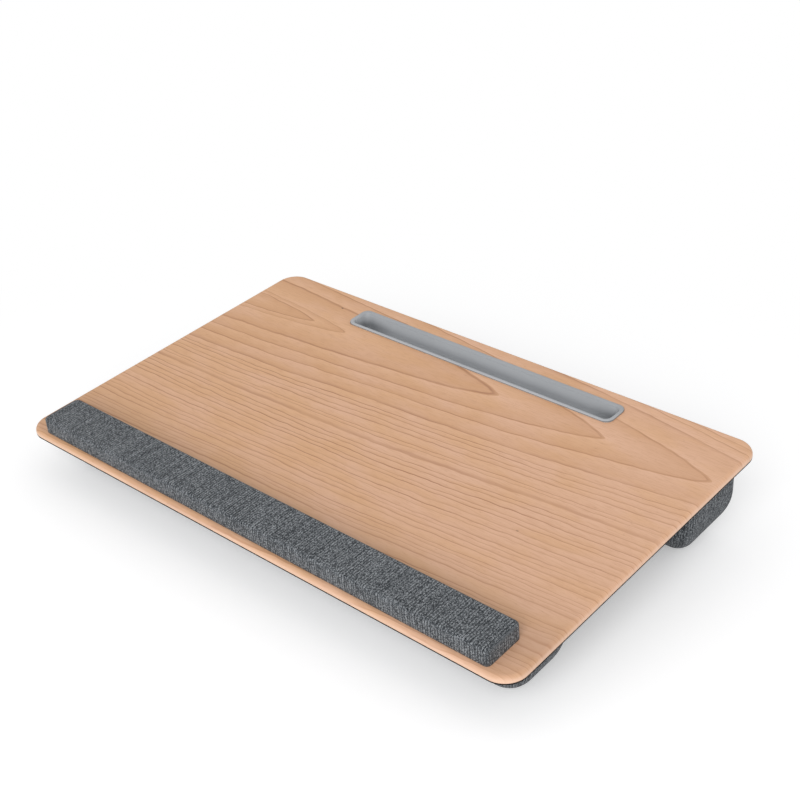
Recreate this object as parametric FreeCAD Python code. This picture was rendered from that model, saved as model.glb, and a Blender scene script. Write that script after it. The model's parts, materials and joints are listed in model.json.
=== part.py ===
import FreeCAD, Part
import math
import os

# A lap desk: a thin wood-faced board with a slot tray and a padded wrist rest on top, and two
# upholstered bolsters stapled underneath. The rear bolster is thicker, so the board slopes to the user.
# All pieces are modelled square to the board: x to the right, y to the rear, z up from the middle of the
# board's underside. The finished pieces are then tilted and lifted, so that they stand on the floor.

# Board
board_width = 550.0
board_depth = 348.8
board_thickness = 6.4
board_corner_radius = 20.0
board_edge_radius = 4.0
veneer_thickness = 0.5
liner_thickness = 1.4
liner_inset = 0.1
tilt_degrees = 6.14

# Slot tray
tray_length = 308.2
tray_width = 29.6
tray_corner_radius = 7.5
tray_rear_inset = 17.9
tray_rim_width = 4.2
tray_rim_thickness = 1.6
tray_rim_rounding = 1.2
tray_lip_radius = 2.6
tray_wall = 1.5
tray_depth = 22.0
tray_cove_radius = 8.0
tray_slot_clearance = 0.4
tray_tape_thickness = 0.4
tray_tape_margin = 0.3

# Wrist rest
wrist_length = 503.6
wrist_width = 39.3
wrist_height = 15.4
wrist_front_inset = 5.0
wrist_corner_radius = 4.0
wrist_edge_radius = 2.5
wrist_cover_thickness = 0.8
wrist_base_thickness = 1.5
wrist_hem_width = 10.0
wrist_fit = 0.2

# Bolsters
bolster_length = 532.0
bolster_flat_depth = 0.5
rear_bolster_inset = 16.8
rear_bolster_width = 84.0
rear_bolster_depth = 71.1
rear_bolster_rounding = 40.3
rear_bolster_corner_radius = 14.0
front_bolster_inset = 17.5
front_bolster_width = 75.6
front_bolster_rounding = 36.2
front_bolster_corner_radius = 20.5
cover_thickness = 1.2
panel_thickness = 1.0
foam_fit = 0.3
tray_pocket_clearance = 1.0

# Staples that hold the bolsters' top panels to the board
staple_crown = 10.0
staple_wire_height = 0.7
staple_wire_width = 1.2
staple_leg = 6.0
staple_edge_inset = 4.5
staple_end_inset = 46.0
staple_tray_gap = 8.0
staples_per_row = 6
staple_foam_gap = 0.2

# Zips in the bolsters' inner sides
zip_end_inset = 56.0
zip_level = 5.7
zip_slit = 1.2
zip_row_width = 1.5
zip_row_height = 1.5
zip_tape_thickness = 0.7
zip_tape_half_width = 4.4
zip_tape_tail = 6.0
zip_window_half_height = 3.6
zip_window_tail = 3.0
zip_groove_margin = 0.4
stop_length = 3.0

# Zip slider and its pull
slider_length = 9.0
slider_width = 6.6
slider_corner_radius = 1.4
slider_plate = 1.0
slider_gap = 0.2
slider_wedge_length = 3.0
slider_wedge_width = 0.8
slider_flange_width = 0.8
slider_flange_drop = 1.2
slider_end_gap = 0.3
bridge_length = 5.0
bridge_width = 1.6
bridge_post = 1.0
bridge_hole_height = 1.6
bridge_bar = 0.9
pull_pin_diameter = 1.1
pull_thickness = 1.0
pull_window_width = 2.4
pull_arm_width = 1.1
pull_reach = 3.4
pull_length = 18.0
pull_end_radius = 2.3
pull_hole_radius = 1.1

# Shapes of round undersides, the reach of cuts past a face, and how near an edge must lie to a level or a line
# to count as on it
rounding_limit_share = 0.48
tip_corner_share = 0.3
rounding_steps = 6
overrun = 5.0
edge_match = 0.01

# Worked out from the sizes above
tilt = math.radians(tilt_degrees)
half_width = board_width / 2
half_depth = board_depth / 2
tray_rear = half_depth - tray_rear_inset
tray_middle = tray_rear - tray_width / 2
tray_seat = board_thickness + tray_tape_thickness
tray_top = tray_seat + tray_rim_thickness
tray_floor = tray_top - tray_depth
trough_half_length = tray_length / 2 - tray_rim_width
trough_half_width = tray_width / 2 - tray_rim_width
trough_corner_radius = tray_corner_radius - tray_rim_width / 2
slot_margin = tray_wall + tray_slot_clearance
wrist_front = -half_depth + wrist_front_inset
wrist_rear = wrist_front + wrist_width
wrist_top = board_thickness + wrist_height
wrist_floor = board_thickness + wrist_cover_thickness
rear_bolster_front = half_depth - rear_bolster_inset - rear_bolster_width
front_bolster_front = front_bolster_inset - half_depth
staple_row_length = bolster_length - 2 * staple_end_inset
staple_even_first = staple_row_length / 2 / (staples_per_row - 1)
foam_top = panel_thickness + staple_wire_height + staple_foam_gap
zip_length = bolster_length - 2 * zip_end_inset
zip_reach_down = zip_level + zip_tape_half_width


def limited(radius, width):
    """A rounding, kept small enough to leave a flat strip under a bolster of this width."""
    return min(radius, rounding_limit_share * width)


def lowest_point(front, depth, rounding):
    """Height of the lowest point of a bolster's front rounding, once the board is tilted."""
    centre_height = (front + rounding) * math.sin(tilt) + (rounding - depth) * math.cos(tilt)
    return centre_height - rounding


def depth_reaching(front, rounding, height):
    """Depth of a bolster whose lowest point lies at the given height."""
    rise = (front + rounding) * math.sin(tilt) - rounding - height
    return rounding + rise / math.cos(tilt)


def rounding_below_zip(front, height):
    """The largest rounding that leaves a bolster's side upright as far down as its zip reaches."""
    room = front * math.sin(tilt) - height - zip_reach_down * math.cos(tilt)
    return room / (1 - math.sin(tilt))


rear_rounding = limited(rear_bolster_rounding, rear_bolster_width)
underside = lowest_point(rear_bolster_front, rear_bolster_depth, rear_rounding)
front_rounding = min(limited(front_bolster_rounding, front_bolster_width),
                     rounding_below_zip(front_bolster_front, underside))
front_bolster_depth = depth_reaching(front_bolster_front, front_rounding, underside)

# The board's front edge leans forward as it tilts, so the middle of the footprint moves a little
edge_centre_height = board_thickness - board_edge_radius
front_reach = ((half_depth - board_edge_radius) * math.cos(tilt)
               + edge_centre_height * math.sin(tilt) + board_edge_radius)
rear_reach = half_depth * math.cos(tilt) - liner_thickness * math.sin(tilt)
standing = FreeCAD.Placement(
    FreeCAD.Vector(0, (front_reach - rear_reach) / 2, -underside - bolster_flat_depth),
    FreeCAD.Rotation(FreeCAD.Vector(1, 0, 0), tilt_degrees),
)


# Basic shapes

def plan_wire(half_length, low, high, radius, level):
    """A rectangle with rounded corners, flat at one level, centred on x."""
    sides = ((1, high), (-1, high), (-1, low), (1, low))
    edges = []
    last = None
    first = None
    for index, (x_sign, y) in enumerate(sides):
        y_sign = 1 if y == high else -1
        x_middle = x_sign * (half_length - radius)
        y_middle = y - y_sign * radius
        start_angle = index * math.pi / 2
        spots = []
        for share in (0, 1 / 2, 1):
            angle = start_angle + share * math.pi / 2
            spots.append(FreeCAD.Vector(x_middle + radius * math.cos(angle),
                                        y_middle + radius * math.sin(angle), level))
        if last is None:
            first = spots[0]
        else:
            edges.append(Part.LineSegment(last, spots[0]).toShape())
        edges.append(Part.Arc(*spots).toShape())
        last = spots[-1]
    edges.append(Part.LineSegment(last, first).toShape())
    return Part.Wire(edges)


def slab(half_length, low, high, radius, bottom, top):
    """A plate with rounded plan corners between two levels."""
    face = Part.Face(plan_wire(half_length, low, high, radius, bottom))
    return face.extrude(FreeCAD.Vector(0, 0, top - bottom))


def block(x_low, x_high, y_low, y_high, bottom, top):
    """A square-cornered block between two corners."""
    corner = FreeCAD.Vector(x_low, y_low, bottom)
    return Part.makeBox(x_high - x_low, y_high - y_low, top - bottom, corner)


def round_bottomed(half_length, low, high, corner, rounding, bottom, top):
    """A form with upright sides and rounded plan corners that draw in round its underside."""
    tip = tip_corner_share * (high - low - 2 * rounding)
    sections = []
    for step in range(rounding_steps + 1):
        angle = step * math.pi / 2 / rounding_steps
        drawn_in = rounding * (1 - math.cos(angle))
        radius = corner + (tip - corner) * (1 - math.cos(angle))
        sections.append(plan_wire(half_length - drawn_in, low + drawn_in, high - drawn_in,
                                  radius, bottom + rounding * (1 - math.sin(angle))))
    underneath = Part.makeLoft(sections, True, False)
    sides = slab(half_length, low, high, corner, bottom + rounding, top)
    return joined([sides, underneath])


def level_edges(shape, level):
    """The edges that lie wholly at one level."""
    return [edge for edge in shape.Edges
            if abs(edge.BoundBox.ZMin - level) < edge_match and abs(edge.BoundBox.ZMax - level) < edge_match]


def edges_along_y(shape):
    """The straight edges that run from front to rear."""
    return [edge for edge in shape.Edges
            if edge.BoundBox.XLength < edge_match and edge.BoundBox.ZLength < edge_match]


def joined(shapes):
    """Several touching or overlapping shapes as one clean solid."""
    whole = shapes[0].fuse(shapes[1:])
    return whole.removeSplitter().Solids[0]


def above_floor(margin):
    """All the space above the floor by a margin, in the board's own frame."""
    reach = board_width + board_depth
    space = block(-reach, reach, -reach, reach, margin, margin + reach)
    space.Placement = standing.inverse()
    return space


# Board and its skins

def rounded_board(inset, top):
    """The board's solid shape, drawn in by an inset under its skin."""
    radius = board_edge_radius - inset
    shape = slab(half_width - inset, inset - half_depth, half_depth - inset,
                 board_corner_radius - inset, liner_thickness, top)
    return shape.makeFillet(radius, level_edges(shape, top))


def tray_slot(margin):
    """The space that the tray's trough takes, with a margin around it."""
    return slab(trough_half_length + margin, tray_middle - trough_half_width - margin,
                tray_middle + trough_half_width + margin, trough_corner_radius + margin,
                tray_floor - tray_wall - margin, board_thickness + overrun)


def make_board(staples):
    core_shape = rounded_board(veneer_thickness, board_thickness - veneer_thickness)
    slot = tray_slot(slot_margin)
    veneer = rounded_board(0, board_thickness).cut([core_shape, slot])
    core = core_shape.cut([slot] + staples)
    liner = slab(half_width - liner_inset, liner_inset - half_depth, half_depth - liner_inset,
                 board_corner_radius - liner_inset, 0, liner_thickness).cut([slot] + staples)
    return {"board_core": core, "wood_veneer": veneer, "underside_liner": liner}


# Slot tray

def trough_form(margin, top):
    """The trough's inside, or its outside with the wall as a margin."""
    return round_bottomed(trough_half_length + margin, tray_middle - trough_half_width - margin,
                          tray_middle + trough_half_width + margin, trough_corner_radius + margin,
                          tray_cove_radius + margin, tray_floor - margin, top)


def trough_edges(shape):
    """The edges of the trough's mouth, at the top of the rim."""
    x_reach = trough_half_length + edge_match
    y_reach = trough_half_width + edge_match
    mouth = FreeCAD.BoundBox(-x_reach, tray_middle - y_reach, tray_top - edge_match,
                             x_reach, tray_middle + y_reach, tray_top + edge_match)
    return [edge for edge in shape.Edges if mouth.isInside(edge.BoundBox)]


def make_tray():
    half_length = tray_length / 2
    rim = slab(half_length, tray_rear - tray_width, tray_rear, tray_corner_radius, tray_seat, tray_top)
    rim = rim.makeFillet(tray_rim_rounding, level_edges(rim, tray_top))
    tray = joined([rim, trough_form(tray_wall, tray_seat + tray_rim_thickness / 2)])
    tray = tray.cut(trough_form(0, tray_top + overrun))
    tray = tray.makeFillet(tray_lip_radius, trough_edges(tray))
    tape = slab(half_length - tray_tape_margin, tray_rear - tray_width + tray_tape_margin,
                tray_rear - tray_tape_margin, tray_corner_radius - tray_tape_margin,
                board_thickness, tray_seat)
    tape = tape.cut(tray_slot(slot_margin))
    return {"slot_tray": tray, "tray_tape": tape}


# Wrist rest

def wrist_block(inset, bottom, top):
    """The wrist rest's shape, drawn in all round by an inset."""
    return slab(wrist_length / 2 - inset, wrist_front + inset, wrist_rear - inset,
                wrist_corner_radius - inset, bottom, top)


def softened(shape, radius, top):
    return shape.makeFillet(radius, level_edges(shape, top))


def make_wrist_rest():
    skin = wrist_cover_thickness
    outside = softened(wrist_block(0, board_thickness, wrist_top), wrist_edge_radius, wrist_top)
    inside = softened(wrist_block(skin, wrist_floor, wrist_top - skin),
                      wrist_edge_radius - skin, wrist_top - skin)
    window = block(wrist_hem_width - wrist_length / 2, wrist_length / 2 - wrist_hem_width,
                   wrist_front + wrist_hem_width, wrist_rear - wrist_hem_width,
                   board_thickness, wrist_floor)
    fit = skin + wrist_fit
    base_top = wrist_floor + wrist_base_thickness
    foam = softened(wrist_block(fit, base_top, wrist_top - fit), wrist_edge_radius - fit, wrist_top - fit)
    tape_margin = wrist_hem_width + wrist_fit
    tape = block(tape_margin - wrist_length / 2, wrist_length / 2 - tape_margin,
                 wrist_front + tape_margin, wrist_rear - tape_margin, board_thickness, wrist_floor)
    return {
        "wrist_cover": outside.cut([inside, window]),
        "wrist_base": wrist_block(fit, wrist_floor, base_top),
        "wrist_foam": foam,
        "wrist_tape": tape,
    }


# Bolsters

def bolster_form(front, width, depth, rounding, corner, inset, top):
    """A bolster with upright sides and a round underside, drawn in by an inset under its cover."""
    form = round_bottomed(bolster_length / 2 - inset, front + inset, front + width - inset,
                          corner - inset, rounding - inset, inset - depth, top)
    return form.common(above_floor(inset)).Solids[0]


def staple(x, y):
    """One staple, crown down, with its legs pointing up into the board."""
    crown_top = -panel_thickness
    crown_bottom = crown_top - staple_wire_height
    y_low = y - staple_wire_width / 2
    y_high = y + staple_wire_width / 2
    x_low = x - staple_crown / 2
    x_high = x + staple_crown / 2
    crown = block(x_low, x_high, y_low, y_high, crown_bottom, crown_top)
    leg_top = crown_top + staple_leg
    left = block(x_low, x_low + staple_wire_height, y_low, y_high, crown_bottom, leg_top)
    right = block(x_high - staple_wire_height, x_high, y_low, y_high, crown_bottom, leg_top)
    return joined([crown, left, right])


def staple_row(y, first):
    """Staples along one edge of a bolster's top panel, the same on both sides of the middle from a first place."""
    per_side = staples_per_row // 2
    spacing = (staple_row_length / 2 - first) / (per_side - 1)
    return [staple(side * (first + index * spacing), y) for side in (-1, 1) for index in range(per_side)]


def staple_rows(front, width, rear_first):
    """Staples along the front and the rear edge of a bolster's top panel."""
    return (staple_row(front + staple_edge_inset, staple_even_first)
            + staple_row(front + width - staple_edge_inset, rear_first))


def make_bolster(name, front, width, depth, rounding, corner, staples, pocket, face, outward):
    """One bolster: its cover, foam, top panel, staples and zip."""
    cover = bolster_form(front, width, depth, rounding, corner, 0, -panel_thickness)
    inside = bolster_form(front, width, depth, rounding, corner, cover_thickness, -panel_thickness)
    foam = bolster_form(front, width, depth, rounding, corner, cover_thickness + foam_fit, -foam_top)
    panel = slab(bolster_length / 2, front, front + width, corner, -panel_thickness, 0)
    pieces = {
        "cover": cover.cut([inside, zip_window(face, outward)]),
        "foam": foam.cut([zip_groove(face, outward)] + pocket),
        "top_panel": panel.cut(staples + pocket),
        "staples": Part.makeCompound(staples),
    }
    pieces.update(make_zip(face, outward))
    return {name + "_" + piece: shape for piece, shape in pieces.items()}


# Zips: depths are measured outward from the face of the bolster's side

def zip_block(face, outward, x_low, x_high, inner, outer, low, high):
    """A block beside a bolster's face, between two depths and two heights about the zip's middle."""
    y_low, y_high = sorted((face + outward * inner, face + outward * outer))
    return block(x_low, x_high, y_low, y_high, low - zip_level, high - zip_level)


zip_end = zip_length / 2
row_edge = zip_slit / 2 + zip_row_width
tape_back = -cover_thickness - zip_tape_thickness
row_front = zip_row_height - cover_thickness
plate_back = row_front + slider_gap
plate_front = plate_back + slider_plate
inner_plate_front = tape_back - slider_gap
inner_plate_back = inner_plate_front - slider_plate
slider_start = stop_length + slider_end_gap + slider_length / 2 - zip_end
slider_travel = -2 * slider_start
pin_depth = plate_front + bridge_hole_height / 2


def zip_window(face, outward):
    reach = zip_end + zip_window_tail
    return zip_block(face, outward, -reach, reach, tape_back, overrun,
                     -zip_window_half_height, zip_window_half_height)


def zip_groove(face, outward):
    """Room in the foam for the zip's tapes and for the slider's inner plate all along its way."""
    reach = zip_end + zip_tape_tail + zip_groove_margin
    half_height = zip_tape_half_width + zip_groove_margin
    return zip_block(face, outward, -reach, reach, inner_plate_back - zip_groove_margin, overrun,
                     -half_height, half_height)


def rounded_plate(face, inner, outer, outward, x_middle):
    """One of the slider's plates, with rounded corners."""
    half_length = slider_length / 2
    half_height = slider_width / 2
    plate = zip_block(face, outward, x_middle - half_length, x_middle + half_length,
                      inner, outer, -half_height, half_height)
    return plate.makeFillet(slider_corner_radius, edges_along_y(plate))


def make_slider(face, outward):
    outer_plate = rounded_plate(face, plate_back, plate_front, outward, slider_start)
    inner_plate = rounded_plate(face, inner_plate_back, inner_plate_front, outward, slider_start)
    wedge_end = slider_start - slider_length / 2 + slider_corner_radius
    wedge = zip_block(face, outward, wedge_end, wedge_end + slider_wedge_length,
                      inner_plate_front, plate_back, -slider_wedge_width / 2, slider_wedge_width / 2)
    flange_reach = slider_length / 2 - slider_corner_radius
    flanges = []
    for side in (-1, 1):
        edges = sorted((side * (slider_width / 2 - slider_flange_width), side * slider_width / 2))
        flanges.append(zip_block(face, outward, slider_start - flange_reach, slider_start + flange_reach,
                                 plate_back - slider_flange_drop, plate_back, *edges))
    bridge_top = plate_front + bridge_hole_height + bridge_bar
    half_bridge = bridge_length / 2
    half_hole = half_bridge - bridge_post
    bridge = zip_block(face, outward, slider_start - half_bridge, slider_start + half_bridge,
                       plate_front, bridge_top, -bridge_width / 2, bridge_width / 2)
    hole = zip_block(face, outward, slider_start - half_hole, slider_start + half_hole,
                     plate_front, plate_front + bridge_hole_height, -overrun, overrun)
    return joined([outer_plate, inner_plate, wedge, bridge.cut(hole)] + flanges)


def make_pull(face, outward):
    """The pull: a flat tab with two arms and a round pin that passes through the slider's bridge."""
    arm_outside = pull_window_width / 2 + pull_arm_width
    inner = pin_depth - pull_thickness / 2
    outer = pin_depth + pull_thickness / 2
    neck = slider_start + pull_reach
    tip = slider_start + pull_length
    pin_start = FreeCAD.Vector(slider_start, face + outward * pin_depth, -zip_level - arm_outside)
    pin = Part.makeCylinder(pull_pin_diameter / 2, 2 * arm_outside, pin_start, FreeCAD.Vector(0, 0, 1))
    arms = []
    for side in (-1, 1):
        edges = sorted((side * pull_window_width / 2, side * arm_outside))
        arms.append(zip_block(face, outward, slider_start, neck, inner, outer, *edges))
    tab = zip_block(face, outward, neck, tip - pull_end_radius, inner, outer, -arm_outside, arm_outside)
    end_middle = FreeCAD.Vector(tip - pull_end_radius, face + outward * inner, -zip_level)
    across = FreeCAD.Vector(0, outward, 0)
    end = Part.makeCylinder(pull_end_radius, pull_thickness, end_middle, across)
    hole = Part.makeCylinder(pull_hole_radius, pull_thickness, end_middle, across)
    return joined([pin, tab, end] + arms).cut(hole)


def make_zip(face, outward):
    tapes = []
    rows = []
    stops = []
    tape_reach = zip_end + zip_tape_tail
    for side in (-1, 1):
        tape_edges = sorted((side * zip_slit / 2, side * zip_tape_half_width))
        tapes.append(zip_block(face, outward, -tape_reach, tape_reach,
                               tape_back, -cover_thickness, *tape_edges))
        row_edges = sorted((side * zip_slit / 2, side * row_edge))
        rows.append(zip_block(face, outward, stop_length - zip_end, zip_end - stop_length,
                              -cover_thickness, row_front, *row_edges))
        stops.append(zip_block(face, outward, -zip_end, stop_length - zip_end,
                               -cover_thickness, row_front, *row_edges))
    stops.append(zip_block(face, outward, zip_end - stop_length, zip_end,
                           -cover_thickness, plate_back, -row_edge, row_edge))
    return {
        "zip_tapes": Part.makeCompound(tapes),
        "zip_coil": Part.makeCompound(rows),
        "zip_stops": Part.makeCompound(stops),
        "zip_slider": make_slider(face, outward),
        "zip_pull": make_pull(face, outward),
    }


# The whole desk

def make_desk():
    beside_tray = tray_length / 2 + staple_tray_gap + staple_crown / 2
    rear_staples = staple_rows(rear_bolster_front, rear_bolster_width, beside_tray)
    front_staples = staple_rows(front_bolster_front, front_bolster_width, staple_even_first)
    pocket = [tray_slot(slot_margin + tray_pocket_clearance)]
    desk = make_board(rear_staples + front_staples)
    desk.update(make_tray())
    desk.update(make_wrist_rest())
    desk.update(make_bolster("rear", rear_bolster_front, rear_bolster_width, rear_bolster_depth,
                             rear_rounding, rear_bolster_corner_radius, rear_staples, pocket,
                             rear_bolster_front, -1))
    desk.update(make_bolster("front", front_bolster_front, front_bolster_width, front_bolster_depth,
                             front_rounding, front_bolster_corner_radius, front_staples, [],
                             front_bolster_front + front_bolster_width, 1))
    return desk


os.makedirs("parts", exist_ok=True)
for node, shape in make_desk().items():
    shape.Placement = standing.multiply(shape.Placement)
    shape.exportStep("parts/" + node + ".step")
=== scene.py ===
import json
import math

import bmesh
import bpy
from mathutils import Matrix, Vector


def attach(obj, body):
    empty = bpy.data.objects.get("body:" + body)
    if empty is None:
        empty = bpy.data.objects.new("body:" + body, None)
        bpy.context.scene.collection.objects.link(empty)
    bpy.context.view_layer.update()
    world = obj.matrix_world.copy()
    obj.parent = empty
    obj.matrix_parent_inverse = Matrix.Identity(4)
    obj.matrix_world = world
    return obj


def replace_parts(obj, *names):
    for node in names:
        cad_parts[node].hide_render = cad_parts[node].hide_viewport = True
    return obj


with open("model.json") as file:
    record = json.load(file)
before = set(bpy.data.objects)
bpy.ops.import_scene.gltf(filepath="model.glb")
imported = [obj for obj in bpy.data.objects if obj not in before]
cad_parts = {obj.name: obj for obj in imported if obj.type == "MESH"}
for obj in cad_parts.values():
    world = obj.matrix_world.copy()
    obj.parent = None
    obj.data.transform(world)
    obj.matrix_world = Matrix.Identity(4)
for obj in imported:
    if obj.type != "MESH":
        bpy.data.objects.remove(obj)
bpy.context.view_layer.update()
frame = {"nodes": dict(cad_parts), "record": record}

scene = bpy.context.scene
mm = 0.001


def srgb(red, green, blue):
    """A colour given as it looks on screen, from 0 to 255, as linear light, by the standard curve."""
    def linear(value):
        share = value / 255
        return share / 12.92 if share <= 0.04045 else ((share + 0.055) / 1.055) ** 2.4
    return (linear(red), linear(green), linear(blue), 1.0)


# Camera, solved from the board's edges in the photograph
camera_place = Vector((0.7139, -0.79701, 0.69014))
camera_elevation = math.radians(28.905)
camera_azimuth = math.radians(40.876)
camera_lens = 63.83
camera_sensor = 36.0
camera_reach = 50.0

# Studio light and floor
white = (1, 1, 1, 1)
dome_level = 0.6
seen_dome_level = 1.0
key_place = (1.73, -3.39, 2.4)
key_target = (0, 0, 0)
key_size = 3.2
key_power = 117
floor_radius = 9.0
floor_sides = 96
floor_colour = (0.86, 0.86, 0.865, 1)
floor_glow = 0.3
floor_shade_middle = (0.11, -0.09, 0)
floor_shade_reach = (0.36, 0.75)

# Board frame: x to the right, y to the rear, z out of the board's top
mounts = {mount["name"]: mount for mount in frame["record"]["mounts"]}
board_middle = Vector(mounts["desk_top"]["pos_m"])
board_up = Vector(mounts["desk_top"]["axis"])
board_right = Vector((1, 0, 0))
board_rear = board_up.cross(board_right)
board_turn = Matrix((board_right, board_rear, board_up))
board_tilt = math.atan2(board_rear.z, board_rear.y)

# A stretch below is how often a noise changes along each axis, per metre, and a span is a range of values,
# followed by the range that it is turned into where that isn't 0 to 1

# Growth rings of the wood: the trunk's axis runs under the board, slanting down to the right
ring_axis_y = 110 * mm
ring_axis_slope = -0.008
ring_axis_depth = 32 * mm
ring_axis_dive = 0.11
ring_point = 1.5
ring_flatness = 0.853

# Distances from the axis in millimetres, and how many rings lie inside them
ring_places = ((0, 0), (12, 1), (16.2, 2), (37.4, 3), (50, 4), (61.4, 5), (74, 6), (104, 11), (260, 42))
narrow_rings_span = (64 * mm, 76 * mm)
uneven_ring_scale = 70.0
uneven_ring_reach = 2.0

# The stretch and the reach of each sway of the grain
grain_sways = (((2.6, 9, 1), 16 * mm), ((13, 40, 1), 4 * mm), ((60, 80, 1), 2.4 * mm))

# Lines at the rings' ends, from wide rings to narrow ones
ring_line_shares = (0.12, 0.3)
ring_line_end_share = 0.96
wide_line_strength = 0.75
narrow_line_strengths = (0.45, 1.15)
line_patch_stretch = (9, 150, 1)
line_patch_span = (0.3, 0.6, 0.45, 1.0)
faint_line_span = (60 * mm, 270 * mm, 1.0, 0.6)
line_share = 0.85
line_colour = srgb(150, 97, 68)

# Colours of the wood inside and at the end of a ring, from the left to the rosier right
early_colours = (srgb(220, 174, 135), srgb(224, 180, 150))
late_colours = (srgb(200, 151, 110), srgb(204, 157, 121))
late_shares = (0.75, 0.35)
rosy_span = (-250 * mm, 250 * mm, -0.4, 0.4)
warm_stretch = (16, 40, 1)
warm_span = (0.35, 0.65)

# Wood fibres, pores and knots, and painted light: paler to the rear, a painted shadow behind the wrist rest
# and a painted highlight on the edges
fibre_stretch = (70, 800, 1)
fibre_roughness = 0.6
fibre_span = (0.45, 0.7, 0.0, 0.3)
fibre_colour = srgb(184, 136, 102)
fibre_height = 0.12 * mm
fibre_gloss_span = (0.3, 0.7, 0.42, 0.54)
pore_stretch = (240, 1100, 1)
pore_span = (0.66, 0.78, 0.0, 0.3)
pore_colour = srgb(150, 104, 74)
knot_marks = ((-178 * mm, 146.3 * mm, 0.9), (177 * mm, -35.5 * mm, 0.4))
knot_radius = 1.1 * mm
knot_core_share = 0.4
knot_width_share = 0.6
knot_colour = srgb(84, 56, 38)
# painted light: the wood darker at the front and paler to the rear, from y -130 mm to 160 mm
painted_rear_light_span = (-130 * mm, 160 * mm, 0.96, 1.05)
# painted shadow: the wood darker within 55 mm of the wrist rest's rear
wrist_shadow_wood_span = (55 * mm, 0.0, 1.0, 0.84)
# painted highlight: the wood paler where its surface turns away from the board's top, on the rounded edges
# and sides
edge_highlight_span = (0.85, 0.1, 0.0, 0.6)
edge_highlight_colour = srgb(248, 211, 186)

# Cloth: a plain weave of threads dyed in dashes, with every third warp thread darker
cloth_thread = 0.8 * mm
warp_dash = 1.0 * mm
weft_dash = 1.0 * mm
warp_run = 30 * mm
dash_start_reach = 16.0
dash_fade_share = 0.7
dash_contrast = 0.85
run_contrast = 0.3
rib_threads = 3
rib_contrast = 0.3
rib_lift = rib_contrast / rib_threads
weft_over_shares = (0.15, 0.75)
weft_contrast = 0.2
thread_sway = 1.2 * mm
thread_sway_run = 4 * mm
thread_height = 0.25 * mm
# painted shade in the gaps between threads
thread_gap_shade_span = (0.0, 0.7, 0.55, 0.0)
cloth_fibre = 0.25 * mm
fuzz_span = (0.3, 0.7)
fuzz_contrast = 0.3
middle_tone = 0.5

# Slot tray: painted shade darkens its rim, most on its outer side and at the rear, and its trough at the
# foot and the ends
# painted shade on the rim, lighter at the front and darker to the rear
rim_shade_levels = (-1 * mm, 0.8 * mm)
rim_shade_tints = (srgb(238, 239, 240), srgb(210, 211, 212))
# painted shade: the trough darker towards its foot
trough_foot_shade_levels = (-4 * mm, -20 * mm)
trough_foot_shade_tint = srgb(214, 215, 216)
# painted shade: the trough darker at its ends
trough_end_shade_levels = (-1 * mm, -11 * mm)
trough_end_shade_reach = (38 * mm, 6 * mm)
trough_end_shade_tint = srgb(196, 197, 198)
# painted shade: a dark line on the rim's outer side
rim_outer_shade_span = (0.88, 1.0)
rim_outer_shade_tint = srgb(186, 187, 188)

# Plastic, felt and metal
spark_scale = 2600.0
spark_height = 0.15 * mm
cloud_scale = 14.0
cloud_span = (0.35, 0.65)
plastic_gloss_spread = (-0.05, 0.06)
felt_stretches = ((500, 1500, 900), (1500, 500, 900))
felt_span = (0.35, 0.65)
felt_height = 0.4 * mm
scuff_stretch = (300, 2400, 2400)
scuff_height = 0.1 * mm
scuff_span = (0.5, 0.8, 0.0, 0.3)
scuff_colour = srgb(190, 190, 190)
metal_gloss_spread = (-0.08, 0.1)
gloss_span = (0.3, 0.7)

# Soft pieces, as blown up from the CAD sizes
bolster_corner = {"rear": 14 * mm, "front": 20.5 * mm}
bolster_rounding = {"rear": 40.3 * mm, "front": 35.7 * mm}
bolster_recess = {"rear": 17 * mm, "front": 11 * mm}
bolster_tip_share = 0.3
bolster_held = 3 * mm
bolster_step = 6 * mm
bolster_sharp_rows = 3
bolster_swell = 1.0 * mm
bolster_pressure = 7.0
wrist_corner = 4 * mm
wrist_edge = 2.5 * mm
wrist_edge_rows = 4
wrist_side_rows = 3
wrist_step = 5 * mm
wrist_sharp_rows = 1
wrist_top_shares = (0.3, 0.55, 0.8, 0.95)
wrist_swell = 0.5 * mm
wrist_pressure = 3.0
corner_steps = 5
least_steps = 2
smooth_levels = 1
sim_steps = 20
sim_cloth = {"quality": 6, "mass": 0.3, "tension_stiffness": 25, "compression_stiffness": 25,
             "shear_stiffness": 10, "bending_stiffness": 2}

# Zips
zip_outward = {"rear": -1, "front": 1}
coil_pitch = 1.3 * mm
coil_wire = 0.3 * mm
coil_head_reach = 0.15 * mm
coil_turn_points = 8
coil_wire_sides = 4
coil_row_lags = {1: 0.0, -1: 0.5}
slot_margin = 1.5 * mm
slot_tail = 3 * mm
slot_overrun = 0.6 * mm
slot_edge_angle = math.radians(50)
stitch_pitch = 4 * mm
stitch_length = 2.9 * mm
stitch_radius = 0.25 * mm
stitch_sides = 5
stitch_margin = 1 * mm
stitch_shape = ((0, -0.25 * mm), (0.2, 0.1 * mm), (0.8, 0.1 * mm), (1, -0.25 * mm))
steep_share = 0.9


def on_board(x, y, height):
    """A point given in the board's frame, as a point of the object's frame."""
    return board_middle + x * board_right + y * board_rear + height * board_up


def to_board(point):
    """A point of the object's frame, in the board's frame."""
    return board_turn @ (Vector(point) - board_middle)


def board_box(node):
    """Lowest and highest corner of a CAD node in the board's frame."""
    points = [to_board(vertex.co) for vertex in frame["nodes"][node].data.vertices]
    low = Vector([min(point[axis] for point in points) for axis in range(3)])
    high = Vector([max(point[axis] for point in points) for axis in range(3)])
    return low, high


# Node trees

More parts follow.
